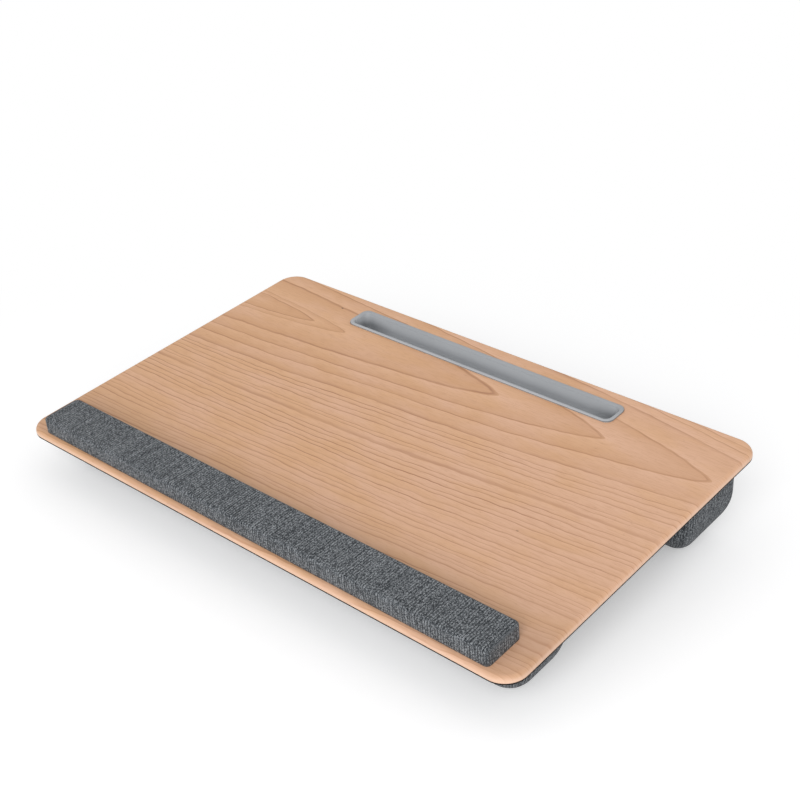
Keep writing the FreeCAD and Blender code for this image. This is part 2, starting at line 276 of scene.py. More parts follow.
class Nodes:
    """A node tree, with short ways to add nodes and sums."""

    # Sockets of the Mix node, which has a set for each kind of data
    mix_value_inputs = (0, 2, 3)
    mix_value_output = 0
    mix_colour_inputs = (0, 6, 7)
    mix_colour_output = 2

    def __init__(self, tree):
        self.tree = tree

    def add(self, kind, inputs=(), **settings):
        """A new node with its settings and inputs."""
        node = self.tree.nodes.new("ShaderNode" + kind)
        for name, value in settings.items():
            setattr(node, name, value)
        for name, value in dict(inputs).items():
            self.put(node.inputs[name], value)
        return node

    def put(self, socket, value):
        """Links an output to a socket, or sets the socket to a constant."""
        if isinstance(value, bpy.types.NodeSocket):
            self.tree.links.new(value, socket)
        else:
            socket.default_value = value

    def sum(self, operation, first, second=0.0, third=0.0, clamp=False):
        node = self.add("Math", operation=operation, use_clamp=clamp)
        for index, value in enumerate((first, second, third)):
            self.put(node.inputs[index], value)
        return node.outputs[0]

    def spread(self, value, low, high, new_low=0.0, new_high=1.0, smooth=False):
        """A value between low and high, moved to between new_low and new_high and held there."""
        kind = "SMOOTHSTEP" if smooth else "LINEAR"
        node = self.add("MapRange", interpolation_type=kind)
        for index, number in enumerate((value, low, high, new_low, new_high)):
            self.put(node.inputs[index], number)
        return node.outputs[0]

    def contrast(self, value, reach):
        """A value from 0 to 1 as a tone from minus half the reach to plus half."""
        return self.spread(value, 0, 1, -reach / 2, reach / 2)

    def blend(self, share, first, second, kind="MIX"):
        """A share of the second colour laid over the first."""
        node = self.add("Mix", data_type="RGBA", blend_type=kind)
        for index, value in zip(self.mix_colour_inputs, (share, first, second)):
            self.put(node.inputs[index], value)
        return node.outputs[self.mix_colour_output]

    def blend_value(self, share, first, second):
        """A value between the first and the second."""
        node = self.add("Mix", data_type="FLOAT")
        for index, value in zip(self.mix_value_inputs, (share, first, second)):
            self.put(node.inputs[index], value)
        return node.outputs[self.mix_value_output]

    def split(self, place):
        """The three coordinates of a place."""
        return self.add("SeparateXYZ", {"Vector": place}).outputs

    def vector_sum(self, operation, first, second, output):
        node = self.add("VectorMath", {0: first, 1: second}, operation=operation)
        return node.outputs[output]


class Shader(Nodes):
    """A material's node tree, with the places and noises that its pattern needs."""

    def __init__(self, name):
        self.material = bpy.data.materials.new(name)
        self.material.use_nodes = True
        super().__init__(self.material.node_tree)
        self.surface = self.tree.nodes["Principled BSDF"]

    def board_place(self, stretch=(1, 1, 1)):
        """The board's own coordinates in metres, stretched along each axis."""
        place = self.add("TexCoord").outputs["Object"]
        turned = self.add("Mapping", {"Vector": place,
                                      "Rotation": (-board_tilt, 0, 0),
                                      "Location": -(board_turn @ board_middle)}).outputs[0]
        return self.add("Mapping", {"Vector": turned, "Scale": stretch}).outputs[0]

    def facing(self, axis):
        """How far the surface faces along an axis, from -1 to 1."""
        normal = self.add("NewGeometry").outputs["Normal"]
        return self.vector_sum("DOT_PRODUCT", normal, axis, "Value")

    def noise(self, place, scale=1.0, detail=2.0, roughness=0.5):
        return self.add("TexNoise", {"Vector": place, "Scale": scale, "Detail": detail,
                                     "Roughness": roughness}).outputs["Fac"]

    def centred(self, noise, reach):
        """Noise from about minus half the reach to plus half."""
        return self.sum("MULTIPLY", self.sum("SUBTRACT", noise, 0.5), reach)

    def bump(self, height, strength, distance):
        node = self.add("Bump", {"Height": height, "Strength": strength, "Distance": distance})
        self.put(self.surface.inputs["Normal"], node.outputs[0])

    def finish(self, **inputs):
        """The material, with the surface's inputs set."""
        for name, value in inputs.items():
            self.put(self.surface.inputs[name.replace("_", " ")], value)
        return self.material


# Wood

def trunk_distance(shader, x, y):
    """How far the grain at a place lies beside the trunk's axis, above it and from it in all."""
    swayed = y
    for stretch, reach in grain_sways:
        sway = shader.noise(shader.board_place(stretch), detail=1.0)
        swayed = shader.sum("ADD", swayed, shader.centred(sway, reach))
    axis_line = shader.sum("MULTIPLY_ADD", x, ring_axis_slope, ring_axis_y)
    off_axis = shader.sum("ABSOLUTE", shader.sum("SUBTRACT", swayed, axis_line))
    aside = shader.sum("MULTIPLY", off_axis, ring_flatness)
    above = shader.sum("ABSOLUTE", shader.sum("MULTIPLY_ADD", x, ring_axis_dive, ring_axis_depth))
    powers = [shader.sum("POWER", part, ring_point) for part in (aside, above)]
    radius = shader.sum("POWER", shader.sum("ADD", *powers), 1 / ring_point)
    return aside, above, radius


def ring_number(shader, radius, narrow):
    """How many rings lie inside a radius, unevenly where the rings are narrow."""
    reach, count = ring_places[-1]
    curve_node = shader.add("FloatCurve", {"Value": shader.sum("DIVIDE", radius, reach * mm)})
    curve = curve_node.mapping.curves[0]
    for distance, ring in ring_places[1:-1]:
        curve.points.new(distance / reach, ring / count)
    for point in curve.points:
        point.handle_type = "VECTOR"
    curve_node.mapping.update()
    rings = shader.sum("MULTIPLY", curve_node.outputs[0], count)
    uneven = shader.add("TexNoise", {"W": radius, "Scale": uneven_ring_scale, "Detail": 1.0},
                        noise_dimensions="1D").outputs["Fac"]
    step = shader.centred(uneven, uneven_ring_reach)
    return shader.sum("ADD", rings, shader.sum("MULTIPLY", step, narrow))


def ring_line(shader, x, distances, rings, narrow):
    """The dark line at a ring's end, as wide as the ring's slant to the board makes it."""
    aside, above, radius = distances
    phase = shader.sum("FRACT", rings)
    lean_aside = shader.sum("MULTIPLY", shader.sum("DIVIDE", aside, radius), ring_flatness ** 2)
    lean_along = shader.sum("MULTIPLY", shader.sum("DIVIDE", above, radius), ring_axis_dive ** 2)
    lean = shader.sum("SQRT", shader.sum("ADD", lean_aside, lean_along))
    width = shader.sum("MULTIPLY", lean, shader.spread(narrow, 0, 1, *ring_line_shares))
    start = shader.sum("SUBTRACT", ring_line_end_share, width)
    line = shader.spread(phase, start, ring_line_end_share, smooth=True)
    line = shader.sum("MULTIPLY", line, shader.spread(phase, ring_line_end_share, 1.0, 1.0, 0.0))
    chance = shader.add("TexWhiteNoise", {"W": shader.sum("FLOOR", rings)},
                        noise_dimensions="1D").outputs["Value"]
    patchy = shader.noise(shader.board_place(line_patch_stretch))
    fade = shader.spread(patchy, *line_patch_span)
    narrow_strength = shader.spread(chance, 0, 1, *narrow_line_strengths)
    strength = shader.blend_value(narrow, wide_line_strength, narrow_strength)
    line = shader.sum("MULTIPLY", line, shader.sum("MULTIPLY", strength, fade))
    return shader.sum("MULTIPLY", line, shader.spread(x, *faint_line_span))


def ring_colour(shader, x, y, rings, narrow):
    """The wood between the lines: rosier to the right, with painted light that makes it paler to the rear
    and a painted shadow behind the wrist rest.
    """
    warm = shader.noise(shader.board_place(warm_stretch))
    rosy = shader.sum("ADD", shader.spread(x, *rosy_span), shader.spread(warm, *warm_span))
    rosy = shader.sum("ADD", rosy, 0.0, clamp=True)
    early = shader.blend(rosy, *early_colours)
    late = shader.blend(rosy, *late_colours)
    most_late = shader.spread(narrow, 0, 1, *late_shares)
    late_part = shader.sum("MULTIPLY", shader.sum("FRACT", rings), most_late)
    colour = shader.blend(late_part, early, late)
    wrist_rear = board_box("wrist_cover")[1].y
    from_wrist = shader.sum("ABSOLUTE", shader.sum("SUBTRACT", y, wrist_rear))
    # painted light: paler to the rear
    pale = shader.spread(y, *painted_rear_light_span)
    # painted shadow behind the wrist rest
    painted_wrist_shadow = shader.spread(from_wrist, *wrist_shadow_wood_span)
    value = shader.sum("MULTIPLY", pale, painted_wrist_shadow)
    return shader.add("HueSaturation", {"Color": colour, "Value": value}).outputs[0]


def knotted(shader, colour):
    """A colour with the wood's small knots on it."""
    for x, y, strength in knot_marks:
        place = shader.board_place((knot_width_share, 1, 0))
        gap = shader.vector_sum("DISTANCE", place, (knot_width_share * x, y, 0), "Value")
        mark = shader.spread(gap, knot_core_share * knot_radius, knot_radius, strength, 0.0, smooth=True)
        colour = shader.blend(mark, colour, knot_colour)
    return colour


def wood_material():
    """Plain-sawn pale wood: growth rings cut at a slant, so they show as lines and pointed arches."""
    shader = Shader("wood_grain")
    x, y, _ = shader.split(shader.board_place())
    distances = trunk_distance(shader, x, y)
    radius = distances[-1]
    narrow = shader.spread(radius, *narrow_rings_span)
    rings = ring_number(shader, radius, narrow)
    line = ring_line(shader, x, distances, rings, narrow)
    fibre = shader.noise(shader.board_place(fibre_stretch), roughness=fibre_roughness)
    pores = shader.noise(shader.board_place(pore_stretch), detail=1.0)
    colour = ring_colour(shader, x, y, rings, narrow)
    colour = shader.blend(shader.sum("MULTIPLY", line, line_share, clamp=True), colour, line_colour)
    colour = shader.blend(shader.spread(fibre, *fibre_span), colour, fibre_colour)
    colour = shader.blend(shader.spread(pores, *pore_span), colour, pore_colour)
    colour = knotted(shader, colour)
    # painted highlight on the edges and sides, which turn away from the top
    painted_edge_highlight = shader.spread(shader.facing(board_up), *edge_highlight_span, smooth=True)
    colour = shader.blend(painted_edge_highlight, colour, edge_highlight_colour)
    shader.bump(fibre, strength=0.06, distance=fibre_height)
    gloss = shader.spread(fibre, *fibre_gloss_span)
    return shader.finish(Base_Color=colour, Roughness=gloss, Specular_IOR_Level=0.3)


# Cloth

def sewn_cloth(shader):
    """Where a cushion's cloth lies, as its mesh says, in metres along the threads."""
    return shader.add("TexCoord").outputs["UV"]


def upright_cloth(shader):
    """Where an upright tape's cloth lies, along the board and up from it."""
    x, _, level = shader.split(shader.board_place())
    return shader.add("CombineXYZ", {"X": x, "Y": level}).outputs[0]


def swayed_cloth(shader, cloth):
    """A place on the cloth, moved about a little, so that the threads sway."""
    noise = shader.add("TexNoise", {"Vector": cloth, "Scale": 1 / thread_sway_run, "Detail": 1.0})
    sway = shader.vector_sum("SUBTRACT", noise.outputs["Color"], (0.5, 0.5, 0.5), "Vector")
    moved = shader.add("VectorMath", {0: sway, 1: 3 * (thread_sway,), 2: cloth}, operation="MULTIPLY_ADD")
    return moved.outputs["Vector"]


def chance(shader, first, second):
    """A number from 0 to 1 that belongs to two others by chance."""
    spot = shader.add("CombineXYZ", {"X": first, "Y": second}).outputs[0]
    return shader.add("TexWhiteNoise", {"Vector": spot}, noise_dimensions="2D").outputs["Value"]


def dash_tone(shader, number, place, length):
    """The chance tone of a thread's dash at a place along it, which fades into the next dash."""
    start = shader.sum("MULTIPLY", chance(shader, number, 0.5), dash_start_reach)
    run = shader.sum("MULTIPLY_ADD", place, 1 / length, start)
    dash = shader.sum("FLOOR", run)
    following = shader.sum("ADD", dash, 1.0)
    fading = shader.spread(shader.sum("FRACT", run), dash_fade_share, 1.0, smooth=True)
    return shader.blend_value(fading, chance(shader, number, dash), chance(shader, number, following))


def cloth_tone(shader, cloth, places, numbers, weft_shows):
    """The tone of the thread that shows, from dark at 0 to light at 1."""
    across, along = places
    warp_number, weft_number = numbers
    warp = dash_tone(shader, warp_number, along, warp_dash)
    weft = dash_tone(shader, weft_number, across, weft_dash)
    yarn = dash_tone(shader, warp_number, along, warp_run)
    in_rib = shader.sum("MODULO", shader.sum("ABSOLUTE", warp_number), rib_threads)
    rib = shader.sum("LESS_THAN", in_rib, 0.5)
    fuzz = shader.noise(cloth, 1 / cloth_fibre)
    tone = shader.spread(shader.blend_value(weft_shows, warp, weft), 0, 1,
                         middle_tone - dash_contrast / 2, middle_tone + dash_contrast / 2)
    for change in (shader.contrast(yarn, run_contrast),
                   shader.spread(rib, 0, 1, rib_lift, rib_lift - rib_contrast),
                   shader.contrast(weft_shows, -weft_contrast),
                   shader.spread(fuzz, *fuzz_span, -fuzz_contrast / 2, fuzz_contrast / 2)):
        tone = shader.sum("ADD", tone, change)
    return tone


def fabric_material(name, lay, dark, middle, light):
    """Heathered linen-look cloth: a plain weave with slips, in threads dyed in dashes of chance tones."""
    shader = Shader(name)
    cloth = lay(shader)
    places = list(shader.split(swayed_cloth(shader, cloth)))[:2]
    threads = [shader.sum("DIVIDE", place, cloth_thread) for place in places]
    numbers = [shader.sum("FLOOR", thread) for thread in threads]
    rounds = [shader.sum("SINE", shader.sum("MULTIPLY", shader.sum("FRACT", thread), math.pi))
              for thread in threads]
    turn = shader.sum("MODULO", shader.sum("ABSOLUTE", shader.sum("ADD", *numbers)), 2.0)
    weft_over = shader.spread(turn, 0, 1, *weft_over_shares)
    weft_shows = shader.sum("LESS_THAN", chance(shader, *numbers), weft_over)
    across_thread = shader.blend_value(weft_shows, *rounds)
    along_thread = shader.blend_value(weft_shows, *rounds[::-1])
    height = shader.sum("MULTIPLY", across_thread, shader.sum("SQRT", along_thread))
    ramp = shader.add("ValToRGB", {"Fac": cloth_tone(shader, cloth, places, numbers, weft_shows)})
    stops = ramp.color_ramp.elements
    stops[0].color = dark
    stops[1].color = light
    stops.new(middle_tone).color = middle
    # painted shade: the colour drawn towards the dark tone in the gaps between threads
    colour = shader.blend(shader.spread(height, *thread_gap_shade_span), ramp.outputs[0], dark)
    shader.bump(height, strength=0.6, distance=thread_height)
    return shader.finish(Base_Color=colour, Roughness=0.95, Specular_IOR_Level=0.12,
                         Sheen_Weight=0.1, Sheen_Roughness=0.5)


# Plastic, felt and metal

def tray_painted_shade(shader, tint):
    """Paints shade on the slot tray: darker on its rim, most outside and at the rear, and in its trough at
    the foot and the ends.
    """
    low, high = board_box("slot_tray")
    middle = (low + high) / 2
    x, y, level = shader.split(shader.board_place())
    # painted shade on the rim's outer side: how far the surface faces away from the tray's middle
    outward = []
    for place, centre, axis in ((x, middle.x, board_right), (y, middle.y, board_rear)):
        side = shader.sum("SIGN", shader.sum("SUBTRACT", place, centre))
        outward.append(shader.sum("MULTIPLY", side, shader.facing(axis)))
    outside = shader.spread(shader.sum("ADD", *outward), *rim_outer_shade_span)
    rim = shader.blend(shader.spread(y, low.y, high.y), *rim_shade_tints)
    from_middle = shader.sum("ABSOLUTE", shader.sum("SUBTRACT", x, middle.x))
    from_end = shader.sum("SUBTRACT", high.x - middle.x, from_middle)
    # painted shade at the trough's ends
    painted_end_shade = shader.sum("MULTIPLY", shader.spread(from_end, *trough_end_shade_reach),
                           shader.spread(level, *trough_end_shade_levels))
    # painted shade laid on in turn: on the rim, at the trough's foot, at its ends and on the rim's outer
    # side
    for share, layer in ((shader.spread(level, *rim_shade_levels), rim),
                         (shader.spread(level, *trough_foot_shade_levels), trough_foot_shade_tint),
                         (painted_end_shade, trough_end_shade_tint),
                         (outside, rim_outer_shade_tint)):
        tint = shader.blend(share, tint, layer, "MULTIPLY")
    return tint


def plastic_material(name, colour, shade, rough, toned=None):
    """Moulded plastic with a fine spark texture."""
    shader = Shader(name)
    grain = shader.noise(shader.board_place(), spark_scale)
    cloud = shader.noise(shader.board_place(), cloud_scale)
    tint = shader.blend(shader.spread(cloud, *cloud_span), colour, shade)
    if toned:
        tint = toned(shader, tint)
    shader.bump(grain, strength=0.25, distance=spark_height)
    gloss = shader.spread(grain, *gloss_span, *(rough + change for change in plastic_gloss_spread))
    return shader.finish(Base_Color=tint, Roughness=gloss, Specular_IOR_Level=0.4)


def felt_material(name, colour, shade):
    """Pressed or non-woven sheet with short crossing fibres."""
    shader = Shader(name)
    fibres = [shader.noise(shader.board_place(stretch), detail=3.0, roughness=0.7)
              for stretch in felt_stretches]
    mixed = shader.sum("MULTIPLY", shader.sum("ADD", *fibres), 0.5)
    tint = shader.blend(shader.spread(mixed, *felt_span), shade, colour)
    shader.bump(mixed, strength=0.5, distance=felt_height)
    return shader.finish(Base_Color=tint, Roughness=0.93, Specular_IOR_Level=0.15)


def metal_material(name, colour, rough):
    """Lacquered or drawn metal with faint scuffs."""
    shader = Shader(name)
    scuff = shader.noise(shader.board_place(scuff_stretch), detail=3.0, roughness=0.6)
    shader.bump(scuff, strength=0.1, distance=scuff_height)
    gloss = shader.spread(scuff, *gloss_span, *(rough + change for change in metal_gloss_spread))
    tint = shader.blend(shader.spread(scuff, *scuff_span), colour, scuff_colour)
    return shader.finish(Base_Color=tint, Roughness=gloss, Metallic=0.9)


# Finishes

wood = wood_material()
fabric = fabric_material("grey_heather", sewn_cloth,
                         dark=srgb(33, 36, 40), middle=srgb(86, 90, 94), light=srgb(162, 166, 170))
zip_cloth = fabric_material("zip_tape_cloth", upright_cloth,
                            dark=srgb(36, 38, 40), middle=srgb(58, 61, 64), light=srgb(84, 87, 90))
grey_plastic = plastic_material("grey_plastic", srgb(192, 194, 197), srgb(186, 188, 191), rough=0.42,
                                toned=tray_painted_shade)
nylon = plastic_material("zip_nylon", srgb(58, 60, 62), srgb(50, 52, 54), rough=0.35)
strip_plastic = plastic_material("base_strip_plastic", srgb(52, 52, 52), srgb(44, 44, 44), rough=0.5)
liner_felt = felt_material("dark_liner_felt", srgb(40, 34, 31), srgb(26, 22, 20))
panel_felt = felt_material("panel_cloth_felt", srgb(52, 53, 55), srgb(36, 37, 39))
board_fibre = felt_material("fibreboard_raw", srgb(170, 140, 108), srgb(146, 116, 86))
foam_tape = felt_material("foam_tape_white", srgb(222, 222, 218), srgb(206, 206, 200))
thread = felt_material("sewing_thread", srgb(118, 121, 124), srgb(92, 95, 98))
zip_metal = metal_material("zip_metal_lacquer", srgb(92, 94, 97), rough=0.38)
steel = metal_material("staple_wire_steel", srgb(196, 197, 200), rough=0.3)

finishes = {
    "wood": wood, "fibreboard": board_fibre, "dark_liner": liner_felt, "grey_plastic": grey_plastic,
    "tape": foam_tape, "grey_fabric": fabric, "base_strip": strip_plastic, "foam": foam_tape,
    "panel_cloth": panel_felt, "steel": steel, "zip_tape": zip_cloth, "zip_coil": nylon,
    "zip_metal": zip_metal,
}
for subpart in frame["record"]["subparts"]:
    shown = frame["nodes"][subpart["node"]].data
    shown.materials.clear()
    shown.materials.append(finishes[subpart["material_slot"]])


# Mesh helpers

def finished_mesh(shape, name):
    """A mesh from a shape, which is used up."""
    data = bpy.data.meshes.new(name)
    shape.to_mesh(data)
    shape.free()
    return data


def new_piece(name, data, material):
    """A new object on the desk, with its finish."""
    piece = bpy.data.objects.new(name, data)
    scene.collection.objects.link(piece)
    data.materials.append(material)
    for face in data.polygons:
        face.use_smooth = True
    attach(piece, "desk")
    return piece


def plan_loop(low, high, inset, corner, step):
    """Points round a rectangle with rounded corners, evenly spaced, with the same count at any inset."""
    outer_x = (high.x - low.x) / 2
    outer_y = (high.y - low.y) / 2
    middle = (low + high) / 2
    half_x = outer_x - inset
    half_y = outer_y - inset
    corner = min(corner, half_x, half_y)
    counts = [max(least_steps, round(2 * outer / step)) for outer in (outer_x, outer_y)]
    corners = ((1, 1), (-1, 1), (-1, -1), (1, -1))

    def corner_point(index, angle):
        x_sign, y_sign = corners[index % len(corners)]
        return (middle.x + x_sign * (half_x - corner) + corner * math.cos(angle),
                middle.y + y_sign * (half_y - corner) + corner * math.sin(angle))

    points = []
    for index in range(len(corners)):
        for turn in range(corner_steps + 1):
            points.append(corner_point(index, (index + turn / corner_steps) * math.pi / 2))
        start = points[-1]
        end = corner_point(index + 1, (index + 1) * math.pi / 2)
        count = counts[index % 2]
        for turn in range(1, count):
            share = turn / count
            points.append((start[0] + share * (end[0] - start[0]), start[1] + share * (end[1] - start[1])))
    return points


def lengths_along(points):
    """Distance from the first point to each of the others, along the line through them."""
    total = 0.0
    lengths = [total]
    for before, after in zip(points, points[1:]):
        total += math.dist(before, after)
        lengths.append(total)
    return lengths


def stacked_form(name, rings, sharp_rows, cloth_place):
    """A closed mesh through rings of points of one count, flat at both ends, with the threads laid on."""
    shape = bmesh.new()
    threads = shape.loops.layers.uv.new("cloth")
    crease = shape.edges.layers.float.new("crease_edge")
    loops = [[shape.verts.new(on_board(*point)) for point in ring] for ring in rings]
    count = len(rings[0])
    for row in range(len(rings) - 1):
        for column in range(count):
            corners = ((row, column), (row, column + 1), (row + 1, column + 1), (row + 1, column))
            face = shape.faces.new([loops[at][place % count] for at, place in corners])
            for loop, (at, place) in zip(face.loops, corners):
                loop[threads].uv = cloth_place(at, place)
    caps = [shape.faces.new(loops[0][::-1]), shape.faces.new(loops[-1])]
    for cap in caps:
        for loop in cap.loops:
            loop[threads].uv = to_board(loop.vert.co).xy
    for row in range(sharp_rows):
        for column in range(count):
            edge = shape.edges.get((loops[row][column], loops[row][(column + 1) % count]))
            edge[crease] = 1.0
    bmesh.ops.triangulate(shape, faces=caps)
    bmesh.ops.recalc_face_normals(shape, faces=shape.faces)
    return finished_mesh(shape, name)


def swell(piece, held, most, pressure):
    """Blows a padded piece up as stuffed cloth, holding some points, and keeps it near where it was."""
    rest = [vertex.co.copy() for vertex in piece.data.vertices]
    group = piece.vertex_groups.new(name="held")
    group.add(held, 1.0, "REPLACE")
    cloth = piece.modifiers.new("stuffing", "CLOTH")
    settings = cloth.settings
    for name, value in sim_cloth.items():
        setattr(settings, name, value)
    settings.vertex_group_mass = "held"
    settings.use_pressure = True
    settings.uniform_pressure_force = pressure
    settings.effector_weights.gravity = 0
    cloth.point_cache.frame_start = 1
    cloth.point_cache.frame_end = sim_steps
    for step in range(1, sim_steps + 1):
        scene.frame_set(step)
    graph = bpy.context.evaluated_depsgraph_get()
    blown = [vertex.co.copy() for vertex in piece.evaluated_get(graph).data.vertices]
    piece.modifiers.remove(cloth)
    piece.vertex_groups.remove(group)
    scene.frame_set(1)
    for vertex, start, end in zip(piece.data.vertices, rest, blown):
        move = end - start
        if move.length > most:
            move *= most / move.length
        vertex.co = start + move


def apply_modifiers(piece):
    """Makes a piece's modifiers part of its mesh."""
    graph = bpy.context.evaluated_depsgraph_get()
    finished = bpy.data.meshes.new_from_object(piece.evaluated_get(graph))
    old = piece.data
    piece.modifiers.clear()
    piece.data = finished
    bpy.data.meshes.remove(old)


def smooth(piece):
    """Subdivides a piece's mesh."""
    modifier = piece.modifiers.new("smooth", "SUBSURF")
    modifier.levels = smooth_levels
    modifier.render_levels = smooth_levels
    apply_modifiers(piece)


def add_tube(shape, path, radius, sides):
    """A closed tube of round section along a line of points."""
    loops = []
    for index, place in enumerate(path):
        before = path[max(index - 1, 0)]
        after = path[min(index + 1, len(path) - 1)]
        run = (after - before).normalized()
        beside = board_up if abs(run.dot(board_up)) < steep_share else board_right
        first = run.cross(beside).normalized()
        second = run.cross(first)
        angles = [2 * math.pi * turn / sides for turn in range(sides)]
        loops.append([shape.verts.new(place + radius * (math.cos(angle) * first + math.sin(angle) * second))
                      for angle in angles])
    for before, after in zip(loops, loops[1:]):
        for turn in range(sides):
            following = (turn + 1) % sides
            shape.faces.new((before[turn], before[following], after[following], after[turn]))
    shape.faces.new(loops[0][::-1])
    shape.faces.new(loops[-1])


def tube_piece(shape, name, material):
    """A new piece from a shape made of tubes."""
    bmesh.ops.recalc_face_normals(shape, faces=shape.faces)
    return new_piece(name, finished_mesh(shape, name), material)


# Bolsters and their zips

class Zip:
    """Where a bolster's zip lies: across its middle, out of the bolster's face and along the board."""

    def __init__(self, side):
        cover = board_box(side + "_cover")
        tapes = board_box(side + "_zip_tapes")
        coil = board_box(side + "_zip_coil")
        stops = board_box(side + "_zip_stops")
        self.outward = zip_outward[side]
        self.face = max(self.outward * corner.y for corner in cover) * self.outward
        self.level = (coil[0].z + coil[1].z) / 2
        self.coil_half_height = (coil[1].z - coil[0].z) / 2
        self.coil_depths = sorted(self.outward * (corner.y - self.face) for corner in coil)
        self.coil_half_length = coil[1].x
        self.slot_half_height = self.coil_half_height + slot_margin
        self.slot_half_length = stops[1].x + slot_tail
        self.wall = -max(self.outward * (corner.y - self.face) for corner in tapes)

    def point(self, x, height, depth):
        return on_board(x, self.face + self.outward * depth, self.level + height)


def cut_slot(piece, zipper):
    """Opens a bolster's wall in front of its zip."""
    shape = bmesh.new()
    bmesh.ops.create_cube(shape, size=2.0)
    half_depth = (zipper.wall + 2 * slot_overrun) / 2
    for vertex in shape.verts:
        x, height, out = vertex.co
        vertex.co = zipper.point(x * zipper.slot_half_length, height * zipper.slot_half_height,
                                 out * half_depth - zipper.wall / 2)
    shape.normal_update()
    bmesh.ops.recalc_face_normals(shape, faces=shape.faces)
    data = finished_mesh(shape, "slot")
    cutter = bpy.data.objects.new("slot", data)
    scene.collection.objects.link(cutter)
    cut = piece.modifiers.new("slot", "BOOLEAN")
    cut.operation = "DIFFERENCE"
    cut.solver = "EXACT"
    cut.object = cutter
    apply_modifiers(piece)
    bpy.data.objects.remove(cutter)
    bpy.data.meshes.remove(data)
    piece.data.set_sharp_from_angle(angle=slot_edge_angle)


def bolster_outlines(low, high, side, wall):
    """Inset, corner and level of a bolster's outlines, from its hollow over its sides to its foot."""
    rounding = bolster_rounding[side]
    side_corner = bolster_corner[side]
    tip = bolster_tip_share * (high.y - low.y - 2 * rounding)
    upright = low.z + rounding
    side_rows = max(least_steps, round((high.z - upright) / bolster_step))
    turns = round(rounding * math.pi / 2 / bolster_step)
    outlines = [(wall, side_corner - wall, high.z - bolster_recess[side]),
                (wall, side_corner - wall, high.z)]
    for row in range(side_rows + 1):
        outlines.append((0.0, side_corner, high.z + (upright - high.z) * row / side_rows))
    for turn in range(1, turns + 1):
        angle = turn / turns * math.pi / 2
        drawn_in = rounding * (1 - math.cos(angle))
        corner = side_corner + (tip - side_corner) * (1 - math.cos(angle))
        outlines.append((drawn_in, corner, low.z + rounding * (1 - math.sin(angle))))
    return outlines


def make_bolster(side):
    """A stuffed bolster in the place of its cover and foam, with a flat foot and a hollow at the board."""
    low, high = board_box(side + "_cover")
    zipper = Zip(side)
    outlines = bolster_outlines(low, high, side, zipper.wall)
    rings = [[(x, y, level) for x, y in plan_loop(low, high, drawn_in, corner, bolster_step)]
             for drawn_in, corner, level in outlines]
    around = lengths_along(rings[0] + rings[0][:1])
    down = lengths_along([(drawn_in, level) for drawn_in, corner, level in outlines])
    data = stacked_form(side + "_bolster", rings, bolster_sharp_rows,
                        lambda row, column: (around[column], down[row]))
    piece = new_piece(side + "_bolster", data, fabric)
    lowest_held = high.z - bolster_recess[side] - bolster_held
    held_rows = sum(1 for _, _, level in outlines if level > lowest_held)
    swell(piece, list(range(held_rows * len(rings[0]))), bolster_swell, bolster_pressure)
    for vertex in piece.data.vertices:
        vertex.co.z = max(vertex.co.z, 0.0)
    smooth(piece)
    cut_slot(piece, zipper)
    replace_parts(piece, side + "_cover", side + "_foam")


def make_coil(side):
    """The zip's two rows as wound nylon coils, in the place of the CAD's plain bars."""
    zipper = Zip(side)
    shape = bmesh.new()
    inner, outer = zipper.coil_depths
    half_depth = (outer - inner) / 2 - coil_wire
    row_inside = zipper.coil_half_height - (outer - inner) - coil_head_reach + coil_wire
    row_outside = zipper.coil_half_height - coil_wire
    half_height = (row_outside - row_inside) / 2
    length = 2 * (zipper.coil_half_length - coil_wire)
    points = round(length / coil_pitch * coil_turn_points)
    for row, lag in coil_row_lags.items():
        path = []
        for index in range(points + 1):
            angle = 2 * math.pi * (index / coil_turn_points + lag)
            height = row * ((row_inside + row_outside) / 2 + half_height * math.cos(angle))
            depth = (inner + outer) / 2 + half_depth * math.sin(angle)
            path.append(zipper.point(length * (index / points - 0.5), height, depth))
        add_tube(shape, path, coil_wire, coil_wire_sides)
    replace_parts(tube_piece(shape, side + "_coil_loops", nylon), side + "_zip_coil")


def make_stitches(side):
    """Two rows of stitches that hold the bolster's hems to the zip's tapes."""
    zipper = Zip(side)
    shape = bmesh.new()
    count = int(2 * zipper.slot_half_length / stitch_pitch)
    row_height = zipper.slot_half_height + stitch_margin
    for height in (row_height, -row_height):
        for index in range(count):
            start = (index - (count - 1) / 2) * stitch_pitch - stitch_length / 2
            path = [zipper.point(start + share * stitch_length, height, depth)
                    for share, depth in stitch_shape]
            add_tube(shape, path, stitch_radius, stitch_sides)
    tube_piece(shape, side + "_hem_stitches", thread)


for side in ("rear", "front"):
    make_bolster(side)
    make_coil(side)
    make_stitches(side)


# Wrist rest

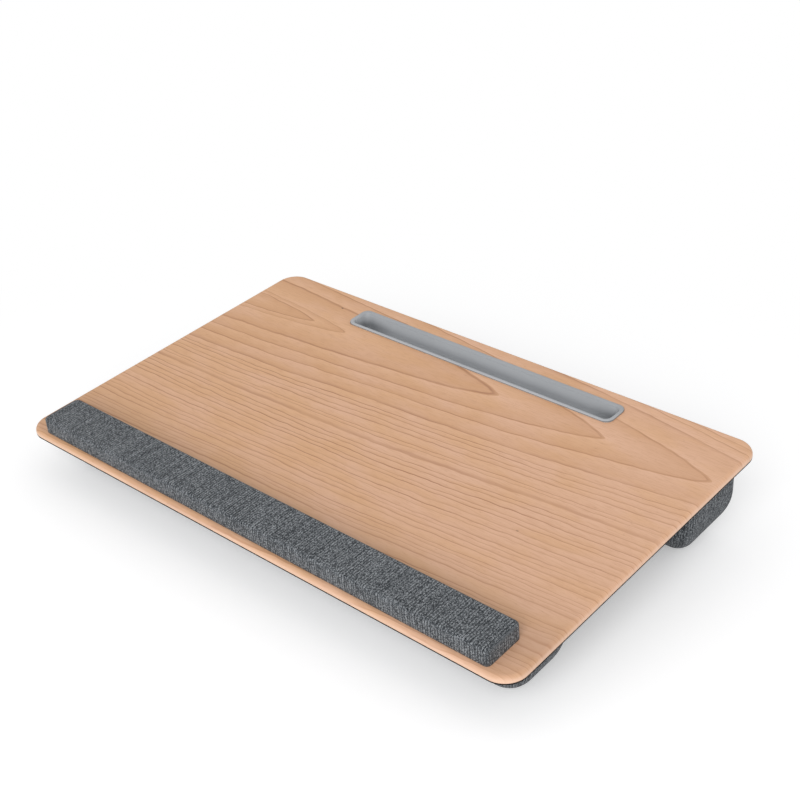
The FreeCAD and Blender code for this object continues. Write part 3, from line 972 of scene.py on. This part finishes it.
def make_wrist_rest():
    """The wrist rest: cloth over a foam bar, crisp where it meets the board and slightly crowned on top."""
    low, high = board_box("wrist_cover")
    half_width = (high.y - low.y) / 2
    side_height = high.z - wrist_edge - low.z
    outlines = [(0.0, low.z + side_height * row / wrist_side_rows) for row in range(wrist_side_rows + 1)]
    for turn in range(1, wrist_edge_rows + 1):
        angle = turn / wrist_edge_rows * math.pi / 2
        outlines.append((wrist_edge * (1 - math.cos(angle)), high.z - wrist_edge * (1 - math.sin(angle))))
    for share in wrist_top_shares:
        outlines.append((wrist_edge + (half_width - wrist_edge) * share, high.z))
    rings = [[(x, y, level) for x, y in plan_loop(low, high, drawn_in, wrist_corner, wrist_step)]
             for drawn_in, level in outlines]
    count = len(rings[0])
    around = lengths_along(rings[0] + rings[0][:1])
    up = lengths_along(outlines)
    top_row = wrist_side_rows + wrist_edge_rows // 2
    front_column = min(range(count), key=lambda column: (rings[0][column][1], abs(rings[0][column][0])))
    shift = rings[0][front_column][0] - around[front_column]

    def cloth_place(row, column):
        if row >= top_row:
            return rings[row][column % count][:2]
        return (around[column] + shift, low.y - up[top_row] + up[row])

    data = stacked_form("wrist_rest", rings, wrist_sharp_rows, cloth_place)
    piece = new_piece("wrist_rest", data, fabric)
    swell(piece, list(range(count)), wrist_swell, wrist_pressure)
    smooth(piece)
    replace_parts(piece, "wrist_cover", "wrist_foam")


make_wrist_rest()


# Floor, light and camera

def floor_material():
    """Pale and lit near the desk, plain white farther off, and clear from below."""
    shader = Shader("floor_white")
    light_path = shader.add("LightPath").outputs
    mirrored = shader.sum("MAXIMUM", light_path["Is Glossy Ray"], light_path["Is Transmission Ray"])
    seen = shader.sum("MAXIMUM", light_path["Is Camera Ray"], mirrored)
    place = shader.add("TexCoord").outputs["Object"]
    distance = shader.vector_sum("DISTANCE", place, floor_shade_middle, "Value")
    far = shader.spread(distance, *floor_shade_reach, smooth=True)
    lit = shader.add("BsdfDiffuse", {"Color": floor_colour}).outputs[0]
    glow = shader.add("Emission", {"Color": white, "Strength": floor_glow}).outputs[0]
    near_look = shader.add("AddShader", {0: lit, 1: glow}).outputs[0]
    far_look = shader.add("Emission", {"Color": white, "Strength": 1.0}).outputs[0]
    seen_look = shader.add("MixShader", {0: far, 1: near_look, 2: far_look}).outputs[0]
    look = shader.add("MixShader", {0: seen, 1: lit, 2: seen_look}).outputs[0]
    below = shader.add("NewGeometry").outputs["Backfacing"]
    clear = shader.add("BsdfTransparent").outputs[0]
    look = shader.add("MixShader", {0: below, 1: look, 2: clear}).outputs[0]
    shader.put(shader.tree.nodes["Material Output"].inputs["Surface"], look)
    return shader.material


def make_floor():
    """A wide round floor under the desk."""
    shape = bmesh.new()
    bmesh.ops.create_circle(shape, cap_ends=True, segments=floor_sides, radius=floor_radius)
    data = finished_mesh(shape, "floor")
    floor = bpy.data.objects.new("floor", data)
    scene.collection.objects.link(floor)
    data.materials.append(floor_material())


def make_world():
    """A white dome that looks brighter than it lights."""
    world = bpy.data.worlds.new("studio")
    scene.world = world
    world.use_nodes = True
    nodes = Nodes(world.node_tree)
    background = nodes.tree.nodes["Background"].inputs
    light_path = nodes.add("LightPath").outputs
    seen = nodes.sum("MAXIMUM", light_path["Is Camera Ray"], light_path["Is Glossy Ray"])
    nodes.put(background["Strength"], nodes.spread(seen, 0, 1, dome_level, seen_dome_level))
    nodes.put(background["Color"], white)


def make_key_light():
    """A large round lamp, turned to the desk."""
    lamp = bpy.data.lights.new("key", "AREA")
    lamp.shape = "DISK"
    lamp.size = key_size
    lamp.energy = key_power
    light = bpy.data.objects.new("key", lamp)
    light.location = key_place
    light.rotation_euler = (Vector(key_target) - Vector(key_place)).to_track_quat("-Z", "Y").to_euler()
    scene.collection.objects.link(light)


def make_camera():
    """The camera at the photograph's place."""
    camera = bpy.data.cameras.new("camera")
    camera.lens = camera_lens
    camera.sensor_width = camera_sensor
    camera.sensor_height = camera_sensor
    camera.clip_end = camera_reach
    shooter = bpy.data.objects.new("camera", camera)
    shooter.location = camera_place
    shooter.rotation_euler = (math.pi / 2 - camera_elevation, 0, camera_azimuth)
    scene.collection.objects.link(shooter)
    scene.camera = shooter


make_floor()
make_world()
make_key_light()
make_camera()
scene.view_settings.view_transform = "Standard"
